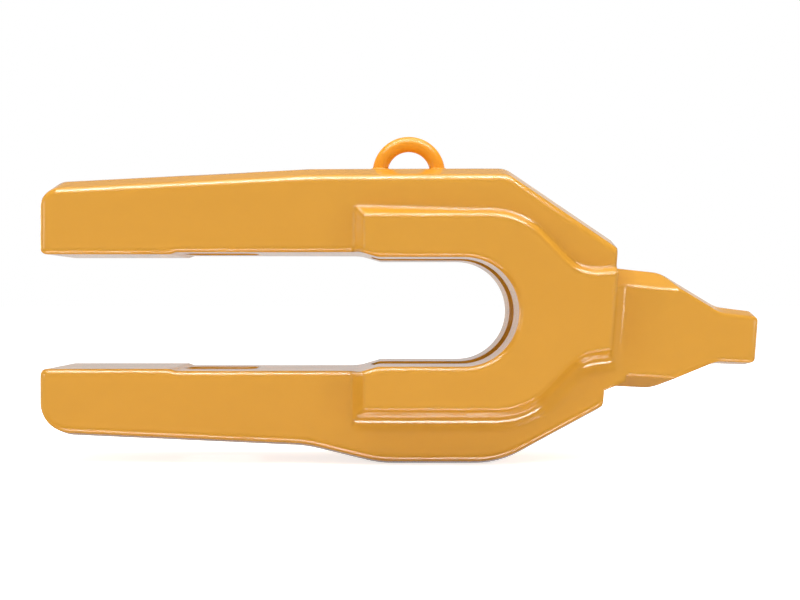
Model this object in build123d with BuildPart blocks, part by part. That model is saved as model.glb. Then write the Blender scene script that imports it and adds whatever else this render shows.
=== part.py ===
from build123d import *
import os
from math import cos, radians, sin, sqrt, tan

os.makedirs("parts", exist_ok=True)

# Bucket tooth adapter: a two-leg casting that straddles the lip of a shovel bucket.
# X points to the tooth nose, Z is up, and the XZ plane is the plane of symmetry.
# The origin is the centre of the round throat that seats on the lip's edge.

# Lip slot, the gap between the two legs
throat_radius = 95.0
leg_length = 748.0
throat_pad_length = 150.0
throat_pad_rise = 10.0
throat_pad_ramp = 34.0
rear_pad_length = 230.0
rear_pad_rise = 3.6
rear_pad_ramp = 9.0
throat_pad_corner_radius = 24.0
rear_pad_corner_radius = 14.0
relief_end_radius = 30.0
leg_inner_corner_radius = 11.0
slot_edge_radius = 10.0

# Relief groove along the middle of the lip seat
groove_width = 76.0
groove_depth = 5.0

# Clamp slots, where the clamp and its wedge pass through both legs and the lip
clamp_slot_width = 76.0
clamp_slot_length = 130.0
clamp_slot_front = 374.0
clamp_slot_corner_radius = 22.0

# Upper outline
top_height = 258.0
top_end_height = 233.8
top_bend_back = 275.0
top_front_reach = 78.0
top_front_angle = 34.2
top_front_radius = 40.0
top_rear_radius = 34.0

# Lower outline
bottom_depth = 272.0
bottom_end_depth = 219.5
bottom_leg_bend_back = 279.0
bottom_leg_bend_depth = 240.5
bottom_leg_bend_radius = 220.0
bottom_body_back = 148.5
bottom_body_radius = 190.0
bottom_front_reach = 65.0
bottom_front_angle = 28.4
bottom_front_radius = 165.0
bottom_rear_radius = 54.0

# Widths, and the crown that falls from a flat strip to each side
leg_width = 200.0
body_width = 244.0
cheek_width = 284.0
leg_flat_width = 74.0
body_flat_width = 96.0
top_crown_drop = 20.0
bottom_flat_width = 120.0
bottom_crown_drop = 10.0
side_edge_radius = 13.0

# Widening of the upper leg towards the body, seen from above
flare_back = 376.0
flare_hollow_length = 120.0
flare_round_length = 36.0
flare_front = 26.0

# Raised cheek round the throat
cheek_half_height = 168.0
cheek_back = 174.0
cheek_draft = 28.0
cheek_top_corner = 98.0
cheek_bottom_corner = 108.0
cheek_top_waist = 62.0
cheek_bottom_waist = 70.0
cheek_waist_corner = 199.0
cheek_waist_rise = 6.0
cheek_corner_radius = 122.0
cheek_waist_radius = 82.0
cheek_edge_radius = 4.0
cheek_base_radius = 36.0

# Shoulder and nose, in a frame of its own that is tipped down a little
nose_tilt = 4.56
shoulder_reach = 256.7
shoulder_drop = 27.2
nose_root_half_height = 106.9
nose_root_length = 94.0
nose_root_end_half_height = 104.2
nose_ramp_end = 198.5
nose_ramp_end_half_height = 51.3
nose_length = 267.0
nose_tip_half_height = 48.3
nose_ramp_top_radius = 60.0
nose_ramp_foot_radius = 50.0
nose_edge_radius = 6.0
nose_tip_radius = 9.0
nose_root_fillet = 14.0
nose_root_width = 192.0
nose_tip_width = 168.0
nose_parallel_length = 78.0
nose_flat_width = 84.0
nose_top_crown_drop = 14.0
nose_bottom_crown_drop = 8.0
nose_top_facet_drop = 29.5
nose_bottom_facet_drop = 24.0
nose_side_fillet = 36.0
nose_core_depth = 30.0

# Vertical hole for the pin that locks the tooth
pin_hole_diameter = 50.0
pin_hole_reach = 52.0

# Lifting eye, a bent round bar welded to the top
eye_bar_diameter = 28.0
eye_bend_radius = 53.0
eye_back = 95.4
eye_centre_drop = 3.0
eye_weld_size = 7.0

# Lengths by which the working solids run past the casting's faces or into each other
cut_margin = 75.0
sink = 10.0
step = 1.0

# Places that follow from the sizes above
relief_half_gap = throat_radius + throat_pad_rise
rear_pad_half_gap = relief_half_gap - rear_pad_rise
front_reach = shoulder_reach + cut_margin
nose_axis = (cos(radians(nose_tilt)), 0, -sin(radians(nose_tilt)))
nose_up = (sin(radians(nose_tilt)), 0, cos(radians(nose_tilt)))
nose_plane = Plane(origin=(shoulder_reach, 0, -shoulder_drop), x_dir=nose_axis, z_dir=(0, -1, 0))
nose_upside_down = Plane(origin=nose_plane.origin, x_dir=nose_axis, z_dir=(0, 1, 0))
nose_plan_plane = Plane(origin=nose_plane.origin, x_dir=nose_axis, z_dir=nose_up)


def rounded_outline(corners):
    """Closed outline through (across, up, radius) corners, a radius of 0 leaving the corner sharp."""
    points = [(across, up) for across, up, radius in corners]
    return FilletPolyline(points, radius=[radius for across, up, radius in corners], close=True)


def mirrored(corners):
    """The corners and their mirror image below the first axis, as one closed outline."""
    return corners + [(across, -up, radius) for across, up, radius in reversed(corners)]


def crowned_slab(plane, corners, half_width, half_flat, drop):
    """Slab with an upright outline, whose crown falls by drop from its flat strip to each side."""
    with BuildPart() as slab:
        with BuildSketch(plane):
            with BuildLine():
                rounded_outline(corners)
            make_face()
        extrude(amount=half_flat, both=True)
        for side in (1, -1):
            with BuildSketch(plane.offset(side * half_flat)):
                with BuildLine():
                    rounded_outline(corners)
                make_face()
            fall = plane.z_dir * (side * (half_width - half_flat)) - plane.y_dir * drop
            extrude(amount=fall.length, dir=fall.normalized())
    return slab.part


def at_side(edges, half_width):
    """The edges that lie wholly in either side plane at half_width."""
    return edges.filter_by(lambda e: abs(abs(e.center().Y) - half_width) < 0.01)


def flare_half_width(x):
    """Half width of the upper leg at x: hollow curve, straight flare, round curve, in that order."""
    rise = (body_width - leg_width) / 2
    run = flare_back + flare_front
    slope = rise / (run - (flare_hollow_length + flare_round_length) / 2)
    back = x + flare_back
    front = flare_front - x
    if back < flare_hollow_length:
        return leg_width / 2 + slope * back**2 / (2 * flare_hollow_length)
    if front < flare_round_length:
        return body_width / 2 - slope * front**2 / (2 * flare_round_length)
    return leg_width / 2 + slope * (back - flare_hollow_length / 2)


def top_at(x):
    """Height of the top strip at x, on the leg's ramp or on the level part."""
    ramp = (top_height - top_end_height) / (leg_length - top_bend_back)
    return top_height - max(0.0, -top_bend_back - x) * ramp


# Upper leg behind the flare: outline with a crowned top and rounded side edges
upper_leg_corners = [
    (-leg_length, 0, 0),
    (-leg_length, top_end_height, top_rear_radius),
    (-flare_back, top_at(-flare_back), 0),
    (-flare_back, 0, 0),
]
with BuildPart() as upper_leg:
    add(crowned_slab(Plane.XZ, upper_leg_corners, leg_width / 2, leg_flat_width / 2, top_crown_drop))
    side_edges = at_side(upper_leg.edges(), leg_width / 2)
    fillet(
        side_edges.filter_by(lambda e: e.center().Z > step and e.center().X < -flare_back - step),
        side_edge_radius,
    )

# Upper body: wider than the leg, falling to the shoulder at its front
slope_run = front_reach - top_front_reach
upper_body_corners = [
    (flare_front, 0, 0),
    (flare_front, top_height, 0),
    (top_front_reach, top_height, top_front_radius),
    (front_reach, top_height - slope_run * tan(radians(top_front_angle)), 0),
    (front_reach, 0, 0),
]
with BuildPart() as upper_body:
    add(crowned_slab(Plane.XZ, upper_body_corners, body_width / 2, body_flat_width / 2, top_crown_drop))
    side_edges = at_side(upper_body.edges(), body_width / 2)
    crown_edges = side_edges.filter_by(lambda e: flare_front + step < e.center().X < front_reach - step)
    fillet(crown_edges.filter_by(lambda e: e.center().Z > step), side_edge_radius)

# Lower leg and body in one: the same outline method, upside down
bottom_slope_run = front_reach - bottom_front_reach
lower_corners = [
    (-leg_length, 0, 0),
    (-leg_length, bottom_end_depth, bottom_rear_radius),
    (-bottom_leg_bend_back, bottom_leg_bend_depth, bottom_leg_bend_radius),
    (-bottom_body_back, bottom_depth, bottom_body_radius),
    (bottom_front_reach, bottom_depth, bottom_front_radius),
    (front_reach, bottom_depth - bottom_slope_run * tan(radians(bottom_front_angle)), 0),
    (front_reach, 0, 0),
]
upside_down = Plane(origin=(0, 0, 0), x_dir=(1, 0, 0), z_dir=(0, 1, 0))
with BuildPart() as lower_side:
    add(crowned_slab(upside_down, lower_corners, leg_width / 2, bottom_flat_width / 2, bottom_crown_drop))
    side_edges = at_side(lower_side.edges(), leg_width / 2)
    fillet(
        side_edges.filter_by(lambda e: e.center().Z < -step and e.center().X < front_reach - step),
        side_edge_radius,
    )


def flare_section(x):
    """Cross-section of the flaring upper body at x, on a plane square to the X axis."""
    share = (flare_half_width(x) - leg_width / 2) / ((body_width - leg_width) / 2)
    half_flat = (leg_flat_width + share * (body_flat_width - leg_flat_width)) / 2
    half_width = flare_half_width(x)
    top = top_at(x)
    edge = top - top_crown_drop
    corners = [
        (-half_width, -top_crown_drop, 0),
        (-half_width, edge, side_edge_radius),
        (-half_flat, top, 0),
        (half_flat, top, 0),
        (half_width, edge, side_edge_radius),
        (half_width, -top_crown_drop, 0),
        (half_flat, 0, 0),
        (-half_flat, 0, 0),
    ]
    with BuildSketch(Plane(origin=(x, 0, 0), x_dir=(0, 1, 0), z_dir=(1, 0, 0))) as sketch:
        with BuildLine():
            rounded_outline(corners)
        make_face()
    return sketch.sketch.faces()[0]


# Flare that joins the leg's width to the body's width
flare_stations = [
    -flare_back + flare_hollow_length / 3,
    -flare_back + 2 * flare_hollow_length / 3,
    -top_bend_back,
    -flare_back + flare_hollow_length,
    flare_front - flare_round_length,
    flare_front - flare_round_length / 2,
]
flare_sections = [upper_leg.faces().sort_by(Axis.X)[-1]]
flare_sections += [flare_section(x) for x in sorted(flare_stations)]
flare_sections += [upper_body.faces().sort_by(Axis.X)[0]]
with BuildPart() as upper_flare:
    loft(flare_sections, ruled=True)

# Cheek, drawn at its outer face and widening by its draft, on a base plate hidden in the body
waist_slope = cheek_waist_rise / (shoulder_reach - cheek_waist_corner)
waist_rise = waist_slope * (front_reach - cheek_waist_corner)
cheek_corners = [
    (-cheek_back, cheek_half_height, 0),
    (cheek_top_corner, cheek_half_height, cheek_corner_radius),
    (cheek_waist_corner, cheek_top_waist, cheek_waist_radius),
    (front_reach, cheek_top_waist + waist_rise, 0),
    (front_reach, -cheek_bottom_waist + waist_rise, 0),
    (cheek_waist_corner, -cheek_bottom_waist, cheek_waist_radius),
    (cheek_bottom_corner, -cheek_half_height, cheek_corner_radius),
    (-cheek_back, -cheek_half_height, 0),
]
cheek_depth = (cheek_width - leg_width) / 2
cheek_foot_run = cheek_depth * tan(radians(cheek_draft))
base_spread = cheek_base_radius * tan(radians(45 - cheek_draft / 2)) + step
foot_back = cheek_back + cheek_foot_run + base_spread
foot_height = cheek_half_height + cheek_foot_run + base_spread
top_limit_front = top_height - top_crown_drop - slope_run * tan(radians(top_front_angle))
bottom_edge_depth = bottom_depth - bottom_crown_drop - side_edge_radius
bottom_limit_front = bottom_edge_depth - bottom_slope_run * tan(radians(bottom_front_angle))
with BuildPart() as cheek:
    with BuildSketch(Plane.XZ.offset(leg_width / 2)):
        Rectangle(4 * leg_length, 4 * bottom_depth)
    extrude(amount=-sink)
    with BuildSketch(Plane.XZ.offset(cheek_width / 2)):
        with BuildLine():
            rounded_outline(cheek_corners)
        make_face()
    extrude(amount=-cheek_depth, taper=-cheek_draft)
    foot_edges = at_side(cheek.edges(), leg_width / 2).filter_by(lambda e: e.length < leg_length)
    fillet(foot_edges.filter_by(lambda e: e.center().Z < -step), cheek_base_radius)
    outer_edges = at_side(cheek.edges(), cheek_width / 2)
    outline_edges = outer_edges.filter_by(lambda e: -cheek_back + step < e.center().X < front_reach - step)
    fillet(outline_edges, cheek_edge_radius)
    with BuildSketch(Plane.XZ):
        with BuildLine():
            Polyline(
                (-foot_back, foot_height),
                (top_front_reach, foot_height),
                (front_reach, top_limit_front),
                (front_reach, -bottom_limit_front),
                (bottom_front_reach, -foot_height),
                (-foot_back, -foot_height),
                close=True,
            )
        make_face()
    extrude(amount=cheek_width, mode=Mode.INTERSECT)


# Nose, in its own tipped frame: the upper and lower halves have crowns of their own
def nose_half(plane, drop):
    """One half of the nose, from below its axis out to its top or bottom outline."""
    corners = [
        (-step, -nose_core_depth, 0),
        (-step, nose_root_half_height + nose_root_fillet, 0),
        (0, nose_root_half_height + nose_root_fillet, 0),
        (0, nose_root_half_height, nose_root_fillet - 0.01),
        (nose_root_length, nose_root_end_half_height, nose_ramp_top_radius),
        (nose_ramp_end, nose_ramp_end_half_height, nose_ramp_foot_radius),
        (nose_length, nose_tip_half_height, 0),
        (nose_length, -nose_core_depth, 0),
    ]
    return crowned_slab(plane, corners, nose_root_width / 2, nose_flat_width / 2, drop)


def facet_cutter(plane, drop):
    """Pair of wedges that take the long edges off the nose root, from the flat strip to the sides."""
    half_flat = nose_flat_width / 2
    fall = drop / (nose_root_width / 2 - half_flat)
    reach = nose_root_width
    taper = (nose_root_half_height - nose_root_end_half_height) / nose_root_length
    run = plane.x_dir - plane.y_dir * taper
    across = Vector(0, 1, 0)
    start = plane.origin - run * (2 * step)
    section_plane = Plane(origin=start, x_dir=across, z_dir=across.cross(plane.y_dir))
    with BuildPart() as cutter:
        for side in (1, -1):
            with BuildSketch(section_plane):
                with BuildLine():
                    Polyline(
                        (side * half_flat, nose_root_half_height),
                        (side * (half_flat + reach), nose_root_half_height - fall * reach),
                        (side * (half_flat + reach), nose_root_half_height + reach),
                        (side * half_flat, nose_root_half_height + reach),
                        close=True,
                    )
                make_face()
            extrude(amount=nose_ramp_end + 2 * step, dir=run.normalized())
    return cutter.part


nose_plan_corners = [
    (-step, nose_root_width, 0),
    (0, nose_root_width, 0),
    (0, nose_root_width / 2, 0),
    (nose_parallel_length, nose_root_width / 2, 0),
    (nose_length, nose_tip_width / 2, 0),
]


def on_nose_side(edge):
    """True for the long edges where the nose's sides meet its top, its bottom and its facets."""
    local = nose_plane.to_local_coords(edge.center())
    level = abs(local.Y) > nose_core_depth + step
    side = abs(local.Z) > nose_tip_width / 2 - step
    return level and side and step < local.X < nose_length - step


def on_nose_end(edge):
    """True for the outer edges of the nose's end face."""
    local = nose_plane.to_local_coords(edge.center())
    outer = abs(local.Y) > nose_core_depth + step or abs(local.Z) > nose_flat_width / 2 + step
    return outer and local.X > nose_length - 0.01


with BuildPart() as nose:
    add(nose_half(nose_plane, nose_top_crown_drop))
    add(nose_half(nose_upside_down, nose_bottom_crown_drop))
    add(facet_cutter(nose_plane, nose_top_facet_drop), mode=Mode.SUBTRACT)
    add(facet_cutter(nose_upside_down, nose_bottom_facet_drop), mode=Mode.SUBTRACT)
    with BuildSketch(nose_plan_plane):
        with BuildLine():
            rounded_outline(mirrored(nose_plan_corners))
        make_face()
    extrude(amount=nose_root_width, both=True, mode=Mode.INTERSECT)
    fillet(nose.edges().filter_by(on_nose_side), nose_edge_radius)
    fillet(nose.edges().filter_by(on_nose_end), nose_tip_radius)

# Cheek run-out: the waist of the cheek goes on past the shoulder and curves into the nose side
run_out_reach = nose_root_width / 2 + 2 * nose_side_fillet
run_out_corners = [
    (-3 * sink, run_out_reach, 0),
    (-3 * sink, nose_root_width / 2 - 2 * sink, 0),
    (nose_side_fillet + step, nose_root_width / 2 - 2 * sink, 0),
    (nose_side_fillet + step, nose_root_width / 2, 0),
    (0, nose_root_width / 2, nose_side_fillet),
    (0, run_out_reach, 0),
]
with BuildPart() as run_out:
    with BuildSketch(nose_plan_plane):
        with BuildLine():
            rounded_outline(run_out_corners)
        make_face()
    extrude(amount=nose_root_width, both=True)
    add(cheek.part.mirror(Plane.XZ), mode=Mode.INTERSECT)
    add(facet_cutter(nose_plane, nose_top_facet_drop), mode=Mode.SUBTRACT)

# Lip slot with its pads and reliefs, seen from the side
slot_end = leg_length + cut_margin
slot_end_half_gap = rear_pad_half_gap + leg_inner_corner_radius + step
rear_pad_front = leg_length - rear_pad_length
slot_corners = [
    (0, throat_radius, 0),
    (-throat_pad_length, throat_radius, throat_pad_corner_radius),
    (-throat_pad_length - throat_pad_ramp, relief_half_gap, relief_end_radius),
    (-rear_pad_front + rear_pad_ramp, relief_half_gap, rear_pad_corner_radius),
    (-rear_pad_front, rear_pad_half_gap, rear_pad_corner_radius),
    (-leg_length, rear_pad_half_gap, leg_inner_corner_radius),
    (-leg_length, slot_end_half_gap, 0),
    (-slot_end, slot_end_half_gap, 0),
]
with BuildPart() as lip_slot:
    with BuildSketch(Plane.XZ):
        with BuildLine():
            rounded_outline(mirrored(slot_corners))
        make_face()
        Circle(throat_radius)
    extrude(amount=cheek_width, both=True)

# Middle of the lip seat, cut a little deeper so that the lip bears on the two sides
with BuildPart() as seat_groove:
    with BuildSketch(Plane.XZ):
        Circle(throat_radius + groove_depth)
        Rectangle(
            throat_pad_length + throat_pad_ramp,
            2 * (throat_radius + groove_depth),
            align=(Align.MAX, Align.CENTER),
        )
    extrude(amount=groove_width / 2, both=True)

# Everything in front of the shoulder, which the nose then takes the place of
with BuildPart() as shoulder_cut:
    with BuildSketch(nose_plane):
        Rectangle(2 * cut_margin + nose_length, 4 * bottom_depth, align=(Align.MIN, Align.CENTER))
    extrude(amount=cheek_width, both=True)


def in_slot_mouth(edge):
    """True for an edge where the lip slot breaks through a side of the cheek or of a leg."""
    centre = edge.center()
    if abs(centre.Z) > relief_half_gap + step or centre.X > throat_radius + step:
        return False
    on_cheek = abs(abs(centre.Y) - cheek_width / 2) < 0.01
    behind_cheek = centre.X < -foot_back and abs(centre.Z) > throat_radius
    return on_cheek or (behind_cheek and abs(centre.Y) > leg_width / 2 - 0.1)


with BuildPart() as casting:
    add(upper_leg.part)
    add(upper_flare.part)
    add(upper_body.part)
    add(lower_side.part)
    add(cheek.part)
    mirror(cheek.part, about=Plane.XZ)
    add(lip_slot.part, mode=Mode.SUBTRACT)
    fillet(casting.edges().filter_by(in_slot_mouth), slot_edge_radius)
    add(seat_groove.part, mode=Mode.SUBTRACT)
    with BuildSketch(Plane.XY.offset(-bottom_depth)):
        with Locations((-clamp_slot_front, 0)):
            RectangleRounded(
                clamp_slot_length,
                clamp_slot_width,
                clamp_slot_corner_radius,
                align=(Align.MAX, Align.CENTER),
            )
    extrude(amount=bottom_depth + top_height, mode=Mode.SUBTRACT)
    add(shoulder_cut.part, mode=Mode.SUBTRACT)
    add(run_out.part)
    mirror(run_out.part, about=Plane.XZ)
    add(nose.part)
    with BuildSketch(nose_plan_plane):
        with Locations((pin_hole_reach, 0)):
            Circle(pin_hole_diameter / 2)
    extrude(amount=2 * nose_root_half_height, both=True, mode=Mode.SUBTRACT)
casting.part.label = "adapter_casting"
export_step(casting.part, "parts/adapter_casting.step")

# Lifting eye: half a ring of round bar, cut off level with the top strip it stands on
foot_reach = sqrt(eye_bend_radius**2 - eye_centre_drop**2)
with BuildPart() as lifting_eye:
    with BuildSketch(Plane.YZ.offset(-eye_back)):
        with Locations((0, top_height - eye_centre_drop + eye_bend_radius)):
            Circle(eye_bar_diameter / 2)
    eye_axis = Axis((-eye_back, 0, top_height - eye_centre_drop), (0, 1, 0))
    revolve(axis=eye_axis, revolution_arc=360)
    split(bisect_by=Plane.XY.offset(top_height), keep=Keep.TOP)
lifting_eye.part.label = "lifting_eye"
export_step(lifting_eye.part, "parts/lifting_eye.step")

# Weld beads round both feet of the eye
with BuildPart() as eye_welds:
    with Locations(*[(-eye_back + side * foot_reach, 0, top_height) for side in (1, -1)]):
        Cone(
            eye_bar_diameter / 2 + eye_weld_size,
            eye_bar_diameter / 2 + step,
            eye_weld_size,
            align=(Align.CENTER, Align.CENTER, Align.MIN),
        )
    add(lifting_eye.part, mode=Mode.SUBTRACT)
eye_welds.part.label = "eye_welds"
export_step(eye_welds.part, "parts/eye_welds.step")
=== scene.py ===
import logging
import math
from dataclasses import dataclass
from enum import Enum

import bmesh
import bpy
import numpy as np
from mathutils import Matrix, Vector


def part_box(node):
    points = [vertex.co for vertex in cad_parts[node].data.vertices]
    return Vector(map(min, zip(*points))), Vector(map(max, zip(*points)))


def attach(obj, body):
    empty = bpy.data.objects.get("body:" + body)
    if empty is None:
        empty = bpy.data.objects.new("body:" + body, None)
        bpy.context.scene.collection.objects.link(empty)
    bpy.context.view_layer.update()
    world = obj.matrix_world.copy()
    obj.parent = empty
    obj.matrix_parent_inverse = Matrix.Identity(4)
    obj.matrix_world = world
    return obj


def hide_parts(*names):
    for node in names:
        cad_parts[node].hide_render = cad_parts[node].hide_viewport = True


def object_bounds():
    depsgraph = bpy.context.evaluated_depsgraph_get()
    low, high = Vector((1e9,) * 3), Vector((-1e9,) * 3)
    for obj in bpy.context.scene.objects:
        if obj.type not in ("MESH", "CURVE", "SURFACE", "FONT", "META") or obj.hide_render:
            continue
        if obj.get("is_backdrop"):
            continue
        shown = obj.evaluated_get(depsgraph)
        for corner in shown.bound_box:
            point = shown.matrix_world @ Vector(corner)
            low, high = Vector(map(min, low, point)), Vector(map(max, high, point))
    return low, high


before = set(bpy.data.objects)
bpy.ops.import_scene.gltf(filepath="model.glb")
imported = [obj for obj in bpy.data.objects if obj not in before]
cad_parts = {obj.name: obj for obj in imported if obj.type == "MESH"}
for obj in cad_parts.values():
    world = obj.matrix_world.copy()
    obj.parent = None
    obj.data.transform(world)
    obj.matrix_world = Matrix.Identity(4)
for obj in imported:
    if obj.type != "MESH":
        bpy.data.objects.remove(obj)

LOG = logging.getLogger("bucket_tooth_adapter")
BODY = "root"

Colour = tuple[float, float, float, float]
Place = tuple[float, float, float]

WHITE: Colour = (1.0, 1.0, 1.0, 1.0)
FLOOR_GREY: Colour = (0.9, 0.9, 0.9, 1.0)


class Slot(Enum):
    """Material slots of the record that the pieces take their finish from."""

    CASTING = "yellow_paint"
    EYE = "orange_paint"


class Kind(Enum):
    """Kinds of named socket on the shared node groups."""

    NUMBER = "NodeSocketFloat"
    COLOUR = "NodeSocketColor"
    VECTOR = "NodeSocketVector"


def open_group(
    name: str, inputs: dict[str, Kind], outputs: dict[str, Kind]
) -> tuple[bpy.types.NodeTree, bpy.types.Node, bpy.types.Node]:
    """Open a node group with named sockets.

    Args:
        name: The group's name.
        inputs: The kind of each input, by its name.
        outputs: The kind of each output, by its name.

    Returns:
        The group, its input node and its output node.
    """
    group = bpy.data.node_groups.new(name, "ShaderNodeTree")
    for way, sockets in (("INPUT", inputs), ("OUTPUT", outputs)):
        for socket, kind in sockets.items():
            group.interface.new_socket(name=socket, in_out=way, socket_type=kind.value)
    return group, group.nodes.new("NodeGroupInput"), group.nodes.new("NodeGroupOutput")


def add_group(
    tree: bpy.types.NodeTree, group: bpy.types.NodeTree, values: dict[str, float | Colour]
) -> bpy.types.Node:
    """Put a shared group into a material, working on Object coordinates.

    Args:
        tree: The material's node tree.
        group: The shared group, which has an input named Place.
        values: The value of each other input, by its name.

    Returns:
        The group's node.
    """
    node = tree.nodes.new("ShaderNodeGroup")
    node.node_tree = group
    for socket, value in values.items():
        node.inputs[socket].default_value = value
    place = tree.nodes.new("ShaderNodeTexCoord")
    tree.links.new(place.outputs["Object"], node.inputs["Place"])
    return node


def add_noise(
    group: bpy.types.NodeTree,
    place: bpy.types.NodeSocket,
    scale: bpy.types.NodeSocket,
    detail: float,
) -> bpy.types.Node:
    """Add a noise texture to a node group.

    Args:
        group: The node group.
        place: The output that gives the place.
        scale: The output that gives the noise's scale.
        detail: How many finer octaves the noise has.

    Returns:
        The noise node.
    """
    noise = group.nodes.new("ShaderNodeTexNoise")
    noise.inputs["Detail"].default_value = detail
    group.links.new(place, noise.inputs["Vector"])
    group.links.new(scale, noise.inputs["Scale"])
    return noise


def add_bump(
    group: bpy.types.NodeTree,
    height: bpy.types.NodeSocket,
    distance: bpy.types.NodeSocket,
    normal: bpy.types.NodeSocket,
) -> bpy.types.NodeSocket:
    """Add a bump to a node group.

    Args:
        group: The node group.
        height: The output that gives the height, from 0 to 1.
        distance: The output that gives the height of 1 in metres.
        normal: The output that gives the normal to be tilted.

    Returns:
        The output that gives the tilted normal.
    """
    bump = group.nodes.new("ShaderNodeBump")
    group.links.new(height, bump.inputs["Height"])
    group.links.new(distance, bump.inputs["Distance"])
    group.links.new(normal, bump.inputs["Normal"])
    return bump.outputs["Normal"]


def add_maths(
    tree: bpy.types.NodeTree,
    operation: str,
    first: bpy.types.NodeSocket,
    second: bpy.types.NodeSocket | float = 0.0,
) -> bpy.types.NodeSocket:
    """Add a maths node to a node tree.

    Args:
        tree: The node tree.
        operation: The operation, such as MAXIMUM.
        first: The output that gives the first number.
        second: The second number, or the output that gives it.

    Returns:
        The output that gives the result.
    """
    node = tree.nodes.new("ShaderNodeMath")
    node.operation = operation
    tree.links.new(first, node.inputs[0])
    if isinstance(second, float):
        node.inputs[1].default_value = second
    else:
        tree.links.new(second, node.inputs[1])
    return node.outputs["Value"]


@dataclass(frozen=True)
class CastSkin:
    """The skin of a painted casting, as a shared group that puts out a normal.

    The normal is rounded over the edges, then tilted by the slow waves of the mould, and last
    by the fine peel of the paint.
    """

    wave_detail: float = 1.5
    peel_detail: float = 1.0
    edge_samples: int = 8

    def build(self) -> bpy.types.NodeTree:
        """Build the shared group.

        Returns:
            A group that takes a place and five sizes, and puts out a normal.
        """
        sizes = ("Wave Scale", "Wave Height", "Peel Scale", "Peel Height", "Edge Radius")
        inputs = {"Place": Kind.VECTOR} | dict.fromkeys(sizes, Kind.NUMBER)
        group, entry, leave = open_group("cast_skin", inputs, {"Normal": Kind.VECTOR})
        given = entry.outputs
        wave = add_noise(group, given["Place"], given["Wave Scale"], self.wave_detail)
        peel = add_noise(group, given["Place"], given["Peel Scale"], self.peel_detail)
        edge = group.nodes.new("ShaderNodeBevel")
        edge.samples = self.edge_samples
        group.links.new(given["Edge Radius"], edge.inputs["Radius"])
        normal = edge.outputs["Normal"]
        normal = add_bump(group, wave.outputs["Fac"], given["Wave Height"], normal)
        normal = add_bump(group, peel.outputs["Fac"], given["Peel Height"], normal)
        group.links.new(normal, leave.inputs["Normal"])
        return group


@dataclass(frozen=True)
class PaintFilm:
    """A sprayed paint film, whose colour and sheen shift a little with its thickness."""

    film_detail: float = 4.0
    film_breakup: float = 0.55

    def build(self) -> bpy.types.NodeTree:
        """Build the shared group.

        Returns:
            A group that takes a place, a scale, two colours and two roughnesses, and puts out
            a colour and a roughness.
        """
        inputs = {
            "Place": Kind.VECTOR,
            "Scale": Kind.NUMBER,
            "Thick Colour": Kind.COLOUR,
            "Thin Colour": Kind.COLOUR,
            "Least Roughness": Kind.NUMBER,
            "Most Roughness": Kind.NUMBER,
        }
        outputs = {"Colour": Kind.COLOUR, "Roughness": Kind.NUMBER}
        group, entry, leave = open_group("paint_film", inputs, outputs)
        given, links = entry.outputs, group.links
        film = add_noise(group, given["Place"], given["Scale"], self.film_detail)
        film.inputs["Roughness"].default_value = self.film_breakup
        mix = group.nodes.new("ShaderNodeMix")
        mix.data_type = "RGBA"
        sheen = group.nodes.new("ShaderNodeMapRange")
        links.new(film.outputs["Fac"], mix.inputs["Factor"])
        links.new(given["Thick Colour"], mix.inputs["A"])
        links.new(given["Thin Colour"], mix.inputs["B"])
        links.new(film.outputs["Fac"], sheen.inputs["Value"])
        links.new(given["Least Roughness"], sheen.inputs["To Min"])
        links.new(given["Most Roughness"], sheen.inputs["To Max"])
        links.new(mix.outputs["Result"], leave.inputs["Colour"])
        links.new(sheen.outputs["Result"], leave.inputs["Roughness"])
        return group


@dataclass(frozen=True)
class GlossPaint:
    """A glossy sprayed finish over cast or bent steel. Heights and radii are in metres."""

    slot: Slot
    thick_colour: Colour
    thin_colour: Colour
    film_scale: float = 5.0
    least_roughness: float = 0.05
    most_roughness: float = 0.11
    specular_level: float = 0.42
    wave_scale: float = 9.0
    wave_height: float = 0.0015
    peel_scale: float = 320.0
    peel_height: float = 0.00006
    edge_radius: float = 0.012

    def build(self, skin: bpy.types.NodeTree, film: bpy.types.NodeTree) -> bpy.types.Material:
        """Make the material from the two shared groups.

        Args:
            skin: The group of CastSkin.
            film: The group of PaintFilm.

        Returns:
            The finished material.
        """
        material = bpy.data.materials.new(f"{self.slot.value}_gloss")
        material.use_nodes = True
        tree = material.node_tree
        skin_sizes = {
            "Wave Scale": self.wave_scale,
            "Wave Height": self.wave_height,
            "Peel Scale": self.peel_scale,
            "Peel Height": self.peel_height,
            "Edge Radius": self.edge_radius,
        }
        film_values = {
            "Scale": self.film_scale,
            "Thick Colour": self.thick_colour,
            "Thin Colour": self.thin_colour,
            "Least Roughness": self.least_roughness,
            "Most Roughness": self.most_roughness,
        }
        skin_out = add_group(tree, skin, skin_sizes).outputs
        film_out = add_group(tree, film, film_values).outputs
        shader = tree.nodes["Principled BSDF"]
        shader.inputs["Specular IOR Level"].default_value = self.specular_level
        tree.links.new(film_out["Colour"], shader.inputs["Base Color"])
        tree.links.new(film_out["Roughness"], shader.inputs["Roughness"])
        tree.links.new(skin_out["Normal"], shader.inputs["Normal"])
        return material


YELLOW_PAINT = GlossPaint(
    Slot.CASTING,
    thick_colour=(0.66, 0.313, 0.034, 1.0),
    thin_colour=(0.638, 0.298, 0.03, 1.0),
)
ORANGE_PAINT = GlossPaint(
    Slot.EYE,
    thick_colour=(0.83, 0.33, 0.02, 1.0),
    thin_colour=(0.8, 0.31, 0.016, 1.0),
    least_roughness=0.2,
    most_roughness=0.28,
    specular_level=0.22,
)


def set_material(piece: bpy.types.Object, material: bpy.types.Material) -> None:
    """Give every slot of a piece the same material, adding one slot where it has none.

    Args:
        piece: The piece.
        material: The material.
    """
    if not piece.material_slots:
        piece.data.materials.append(material)
    for slot in piece.material_slots:
        slot.material = material


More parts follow.
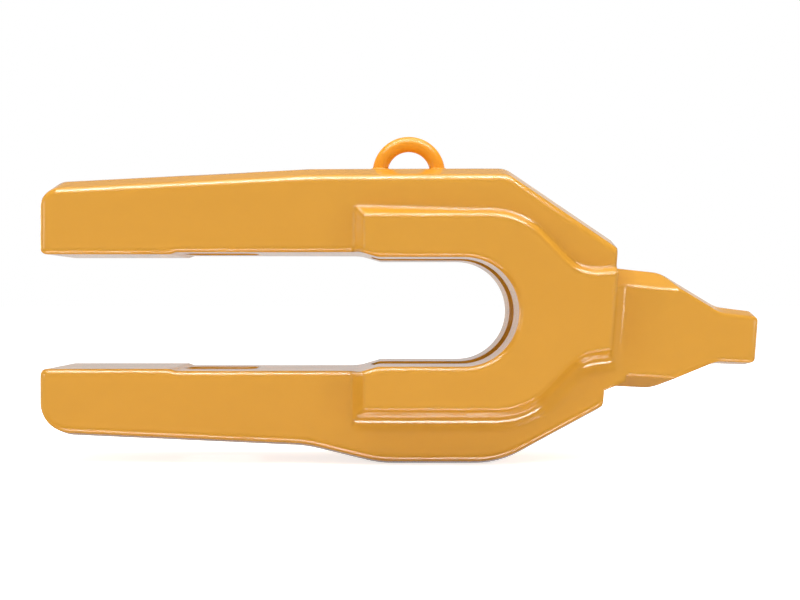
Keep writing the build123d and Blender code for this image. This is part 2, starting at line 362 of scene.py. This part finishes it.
def grid_mesh(
    name: str, points: np.ndarray, closed_rows: bool, closed_columns: bool
) -> bpy.types.Mesh:
    """Make a mesh of four-sided faces from a grid of points.

    Each face joins the points at a row and a column, and at the next row and the next column.

    Args:
        name: The mesh's name.
        points: Array of places with the shape (rows, columns, 3).
        closed_rows: Whether the last row joins the first.
        closed_columns: Whether the last column joins the first.

    Returns:
        The mesh, shaded smooth.
    """
    rows, columns = points.shape[:2]
    index = np.arange(rows * columns).reshape(rows, columns)
    row, column = np.meshgrid(
        np.arange(rows if closed_rows else rows - 1),
        np.arange(columns if closed_columns else columns - 1),
        indexing="ij",
    )
    next_row = (row + 1) % rows
    next_column = (column + 1) % columns
    corners = (
        index[row, column],
        index[next_row, column],
        index[next_row, next_column],
        index[row, next_column],
    )
    faces = np.stack(corners, axis=-1).reshape(-1, len(corners))
    mesh = bpy.data.meshes.new(name)
    mesh.from_pydata(points.reshape(-1, 3).tolist(), [], faces.tolist())
    mesh.polygons.foreach_set("use_smooth", np.ones(len(mesh.polygons), dtype=bool))
    mesh.update()
    return mesh


def join_meshes(name: str, meshes: list[bpy.types.Mesh]) -> bpy.types.Object:
    """Join meshes into one object at the origin, with its faces pointing outwards.

    Args:
        name: The object's name.
        meshes: The meshes, which are removed afterwards.

    Returns:
        The object, linked to the scene.
    """
    shell = bmesh.new()
    for mesh in meshes:
        shell.from_mesh(mesh)
        bpy.data.meshes.remove(mesh)
    bmesh.ops.recalc_face_normals(shell, faces=shell.faces)
    joined = bpy.data.meshes.new(name)
    shell.to_mesh(joined)
    shell.free()
    piece = bpy.data.objects.new(name, joined)
    bpy.context.scene.collection.objects.link(piece)
    return piece


@dataclass
class Casting:
    """The two-leg casting, which stays as the CAD node with its painted finish."""

    node: str = "adapter_casting"

    def dress(self, material: bpy.types.Material) -> bpy.types.Object:
        """Give the casting its finish.

        Args:
            material: The finish.

        Returns:
            The casting.
        """
        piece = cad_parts[self.node]
        set_material(piece, material)
        return piece


@dataclass(frozen=True)
class Wander:
    """A slow wave in a bead's width round the foot, as a hand that lays it makes."""

    depth: float
    count: float
    start: float = 0.0
    shift: float = 0.0

    def wave(self, turn: np.ndarray, along: float) -> np.ndarray:
        """Work out the wave: depth times the sine of count turns, started off by the foot's place.

        Args:
            turn: Angles round the foot.
            along: X of the foot, which shift turns into a start of its own.

        Returns:
            The wave at each angle.
        """
        return self.depth * np.sin(self.count * turn + self.start + self.shift * along)


@dataclass
class LiftingEye:
    """The bent bar on the top, with the beads that weld its feet down. Lengths are in metres."""

    bar_node: str = "lifting_eye"
    weld_node: str = "eye_welds"
    bar_radius: float = 0.014
    ripple_count: int = 26
    ripple_depth: float = 0.0007
    ripple_lag: float = 1.1
    swell_share: float = 0.32
    wanders: tuple[Wander, ...] = (Wander(0.06, 3.0, start=0.7), Wander(0.04, 7.0, shift=60.0))
    sink: float = 0.0015
    steps_round: int = 208
    steps_across: int = 20

    def dress_bar(self, material: bpy.types.Material) -> bpy.types.Object:
        """Give the bar its finish.

        Args:
            material: The finish.

        Returns:
            The bar.
        """
        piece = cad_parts[self.bar_node]
        set_material(piece, material)
        return piece

    def bead_points(self, centre: tuple[float, float], base: float, size: float) -> np.ndarray:
        """Work out one rippled bead round a foot of the bar.

        The section goes from the plate to the bar as a quarter of an ellipse, with a swell in its
        middle, and back below both surfaces. Carried round the foot, its reach out from the bar is
        size, less a ripple whose crests lag behind in the middle of the bead, as a puddle freezes.

        Args:
            centre: X and Y of the foot.
            base: Height of the plate.
            size: Leg length of the bead.

        Returns:
            Places with the shape (steps_round, steps_across + 2, 3).
        """
        turn = np.linspace(0.0, 2.0 * np.pi, self.steps_round, endpoint=False)[:, None]
        across = np.linspace(0.0, 1.0, self.steps_across)[None, :]
        quarter = across * np.pi / 2.0
        swell = np.sin(across * np.pi)
        phase = self.ripple_count * turn - self.ripple_lag * swell
        crest = self.ripple_depth * swell * (np.abs(np.sin(phase / 2.0)) - 0.5)
        wander = sum(wave.wave(turn, centre[0]) for wave in self.wanders)
        leg = (size - self.ripple_depth) * (1.0 + wander * swell) + crest
        bulge = self.swell_share * leg * swell
        reach = self.bar_radius + leg * (1.0 - np.sin(quarter)) + bulge
        rise = leg * (1.0 - np.cos(quarter)) + bulge
        inner = np.full((self.steps_round, 1), self.bar_radius - self.sink)
        low = np.full((self.steps_round, 1), -self.sink)
        reach = np.hstack([reach, inner, inner])
        rise = np.hstack([rise, rise[:, -1:], low])
        reach[:, 0] += self.sink
        rise[:, 0] = -self.sink
        return np.stack(
            [centre[0] + reach * np.cos(turn), centre[1] + reach * np.sin(turn), base + rise],
            axis=-1,
        )

    def build_beads(self, material: bpy.types.Material) -> bpy.types.Object:
        """Lay the rippled beads in the place of the plain ones.

        Args:
            material: The finish.

        Returns:
            The two beads, as one piece.
        """
        low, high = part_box(self.weld_node)
        size = high[2] - low[2]
        reach = self.bar_radius + size
        feet = (low[0] + reach, high[0] - reach)
        rows = [self.bead_points((foot, 0.0), low[2], size) for foot in feet]
        beads = join_meshes(
            "weld_beads", [grid_mesh("bead", points, True, True) for points in rows]
        )
        beads.data.materials.append(material)
        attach(beads, BODY)
        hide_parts(self.weld_node)
        return beads


@dataclass(frozen=True)
class Lamp:
    """A soft lamp panel: its place and size in metres, and its power in watts.

    A panel that is gloss_only shows in the paint's gloss and lights nothing else.
    """

    name: str
    place: Place
    size: tuple[float, float]
    power: float
    gloss_only: bool = False

    def hang(self, target: Place) -> None:
        """Hang the lamp, pointed at the target.

        Args:
            target: The place that it points at.
        """
        data = bpy.data.lights.new(self.name, "AREA")
        data.shape = "RECTANGLE"
        data.size, data.size_y = self.size
        data.energy = self.power
        hung = bpy.data.objects.new(self.name, data)
        hung.location = self.place
        hung.visible_diffuse = not self.gloss_only
        aim = Vector(target) - Vector(self.place)
        hung.rotation_euler = aim.to_track_quat("-Z", "Y").to_euler()
        bpy.context.scene.collection.objects.link(hung)


@dataclass
class Studio:
    """Pale floor, white surround, soft lamps and the camera. Lengths are in metres.

    The surround has its own strength for each kind of ray: full to the camera,
    surround_strength as light on the part, and in gloss horizon_gloss up to the slope of
    sweep_top, dimming to ceiling_gloss from the slope of ceiling_start.
    """

    camera_place: Place = (-0.1116, -2.055, 0.0205)
    camera_pitch: float = 90.0
    camera_lens: float = 50.0
    sensor_width: float = 36.0
    floor_reach: float = 40.0
    floor_glow: float = 0.74
    surround_strength: float = 0.45
    horizon_gloss: float = 0.66
    ceiling_gloss: float = 0.28
    sweep_top: float = 0.2
    ceiling_start: float = 0.42
    lamp_target: Place = (-0.11, 0.0, 0.0)
    lamps: tuple[Lamp, ...] = (
        Lamp("front_strip", (-0.1, -1.8, 1.7), (3.2, 0.3), 18.0),
        Lamp("ceiling_panel", (-0.1, -0.1, 2.4), (3.2, 1.2), 68.0),
        Lamp("front_left_strip", (-2.5, -1.5, 0.3), (0.25, 1.0), 9.0),
        Lamp("front_right_strip", (2.2, -1.5, 0.3), (0.25, 1.0), 8.0),
        Lamp("back_left_strip", (-2.5, 1.5, 0.3), (0.25, 1.0), 11.0),
        Lamp("back_right_strip", (2.2, 1.5, 0.3), (0.25, 1.0), 10.0),
        Lamp("high_gloss_panel", (-0.1, -1.1, 2.3), (3.6, 0.34), 200.0, gloss_only=True),
        Lamp("low_gloss_panel", (-0.1, -0.9, -2.3), (3.6, 0.3), 105.0, gloss_only=True),
    )

    def build_camera(self) -> None:
        """Set up the camera level with the throat, looking along +Y."""
        data = bpy.data.cameras.new("camera")
        data.lens = self.camera_lens
        data.sensor_width = self.sensor_width
        camera = bpy.data.objects.new("camera", data)
        camera.location = self.camera_place
        camera.rotation_euler = (math.radians(self.camera_pitch), 0.0, 0.0)
        bpy.context.scene.collection.objects.link(camera)
        bpy.context.scene.camera = camera

    def build_world(self) -> None:
        """Make the white surround, whose slope is the height of a ray's direction, up or down."""
        world = bpy.data.worlds.new("surround")
        world.use_nodes = True
        tree = world.node_tree
        place = tree.nodes.new("ShaderNodeTexCoord")
        split = tree.nodes.new("ShaderNodeSeparateXYZ")
        sweep = tree.nodes.new("ShaderNodeMapRange")
        sweep.inputs["From Min"].default_value = self.sweep_top
        sweep.inputs["From Max"].default_value = self.ceiling_start
        sweep.inputs["To Min"].default_value = self.horizon_gloss
        sweep.inputs["To Max"].default_value = self.ceiling_gloss
        rays = tree.nodes.new("ShaderNodeLightPath").outputs
        light = tree.nodes.new("ShaderNodeMix")
        light.data_type = "FLOAT"
        light.inputs["A"].default_value = self.surround_strength
        tree.links.new(place.outputs["Object"], split.inputs["Vector"])
        slope = add_maths(tree, "ABSOLUTE", split.outputs["Z"])
        tree.links.new(slope, sweep.inputs["Value"])
        tree.links.new(rays["Is Glossy Ray"], light.inputs["Factor"])
        tree.links.new(sweep.outputs["Result"], light.inputs["B"])
        shown = add_maths(tree, "MAXIMUM", rays["Is Camera Ray"], rays["Is Transmission Ray"])
        strength = add_maths(tree, "MAXIMUM", light.outputs["Result"], shown)
        background = tree.nodes["Background"]
        background.inputs["Color"].default_value = WHITE
        tree.links.new(strength, background.inputs["Strength"])
        bpy.context.scene.world = world

    def floor_material(self) -> bpy.types.Material:
        """Make the pale floor's finish, which glows only where the floor is looked at.

        Returns:
            The finish.
        """
        material = bpy.data.materials.new("pale_floor")
        material.use_nodes = True
        tree = material.node_tree
        shader = tree.nodes["Principled BSDF"]
        shader.inputs["Base Color"].default_value = FLOOR_GREY
        shader.inputs["Roughness"].default_value = 1.0
        shader.inputs["Specular IOR Level"].default_value = 0.0
        shader.inputs["Emission Color"].default_value = WHITE
        rays = tree.nodes.new("ShaderNodeLightPath").outputs
        shown = add_maths(tree, "MAXIMUM", rays["Is Camera Ray"], rays["Is Glossy Ray"])
        shown = add_maths(tree, "MAXIMUM", shown, rays["Is Transmission Ray"])
        glow = add_maths(tree, "MULTIPLY", shown, self.floor_glow)
        tree.links.new(glow, shader.inputs["Emission Strength"])
        return material

    def build_floor(self, height: float) -> None:
        """Lay the pale floor, a square with a corner at plus and minus floor_reach each way.

        Args:
            height: Height of the floor, the lowest point of the part.
        """
        along = np.array([[-self.floor_reach, self.floor_reach]] * 2)
        points = np.stack([along, along.T, np.full(along.shape, height)], axis=-1)
        mesh = grid_mesh("floor", points, False, False)
        mesh.materials.append(self.floor_material())
        floor = bpy.data.objects.new("floor", mesh)
        bpy.context.scene.collection.objects.link(floor)
        floor.visible_glossy = False
        floor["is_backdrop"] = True

    def hang_lamps(self) -> None:
        """Hang the soft lamps, each pointed at the part."""
        for lamp in self.lamps:
            lamp.hang(self.lamp_target)


def main() -> None:
    """Build and dress every piece, then the studio, and report each one."""
    logging.basicConfig(level=logging.INFO, format="%(name)s: %(message)s")
    cad_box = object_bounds()
    skin = CastSkin().build()
    film = PaintFilm().build()
    yellow = YELLOW_PAINT.build(skin, film)
    orange = ORANGE_PAINT.build(skin, film)
    LOG.info("dressed %s", Casting().dress(yellow).name)
    eye = LiftingEye()
    LOG.info("dressed %s", eye.dress_bar(orange).name)
    LOG.info("built %s", eye.build_beads(orange).name)
    studio = Studio()
    studio.build_camera()
    studio.build_world()
    studio.build_floor(cad_box[0].z)
    studio.hang_lamps()
    LOG.info("set up the camera, surround, floor and %d lamps", len(studio.lamps))
    bpy.context.scene.view_settings.view_transform = "Standard"
    LOG.info("cad box %s", cad_box)


if __name__ == "__main__":
    main()
